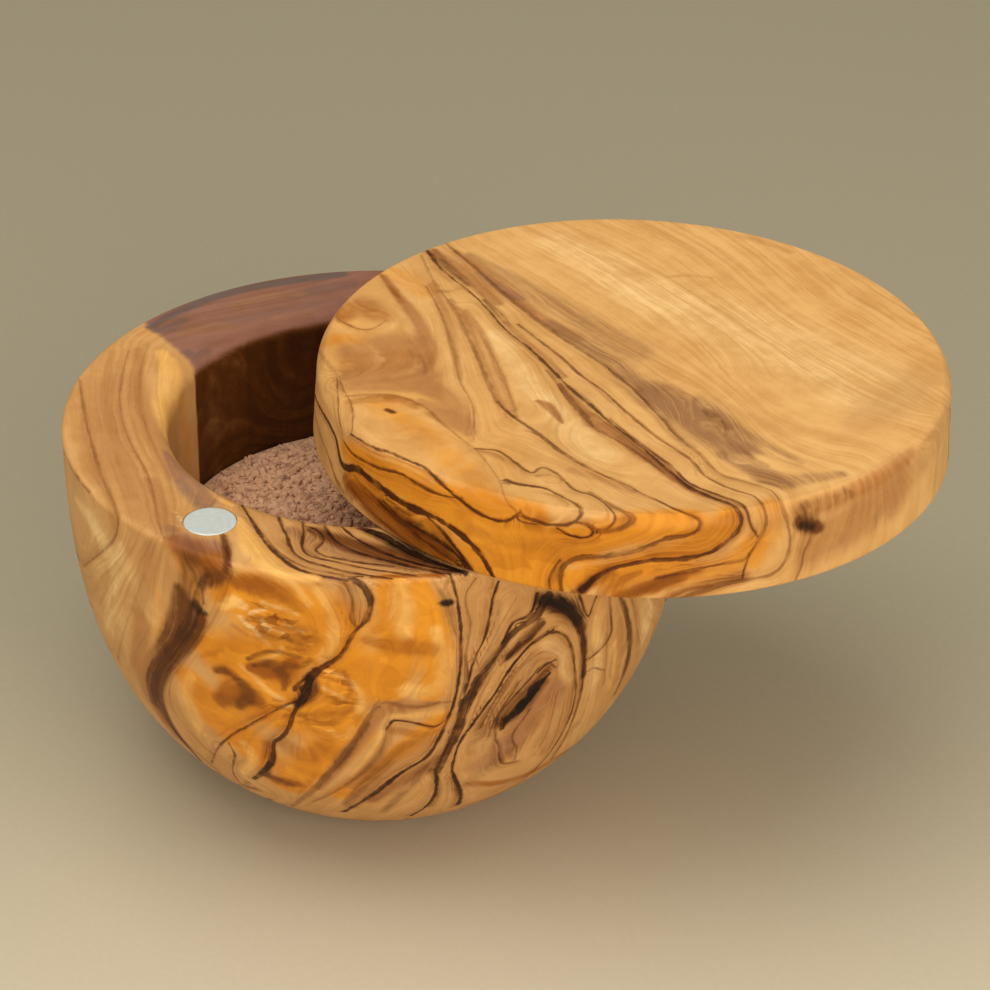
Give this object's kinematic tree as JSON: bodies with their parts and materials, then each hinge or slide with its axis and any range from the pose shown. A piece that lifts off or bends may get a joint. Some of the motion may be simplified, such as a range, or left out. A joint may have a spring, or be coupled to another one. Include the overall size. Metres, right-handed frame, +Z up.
{
  "type": "salt box",
  "caption": "Round turned wooden salt box with a thick flat lid that swings sideways on an upright pin and is held shut by small disc magnets.",
  "frame": {"origin": "centre of the bowl's flat foot, on the surface it stands on", "axes": "+Z up along the bowl's axis, -Y towards the magnets at the front, +Y towards the pivot pin at the back"},
  "size_m": [0.1352, 0.1193, 0.0782],
  "materials": {
    "bowl_wood": "figured olive wood, oiled to a satin sheen",
    "lid_wood": "figured olive wood, oiled to a satin sheen",
    "pin_steel": "ground steel dowel pin",
    "magnet_nickel": "nickel plating with fine scratches",
    "salt": "coarse pinkish salt crystals"
  },
  "bodies": {
    "base": {"bowl": "bowl_wood", "pivot_pin": "pin_steel", "rim_magnet": "magnet_nickel", "salt_fill": "salt"},
    "lid": {"lid": "lid_wood", "lid_magnet": "magnet_nickel"}
  },
  "joints": [
    {"name": "lid_swing", "type": "hinge", "parent": "base", "child": "lid", "pos_m": [0, 0.04175, 0.0652], "axis": [0, 0, 1], "range_deg": [-57.5, 122.5]}
  ]
}
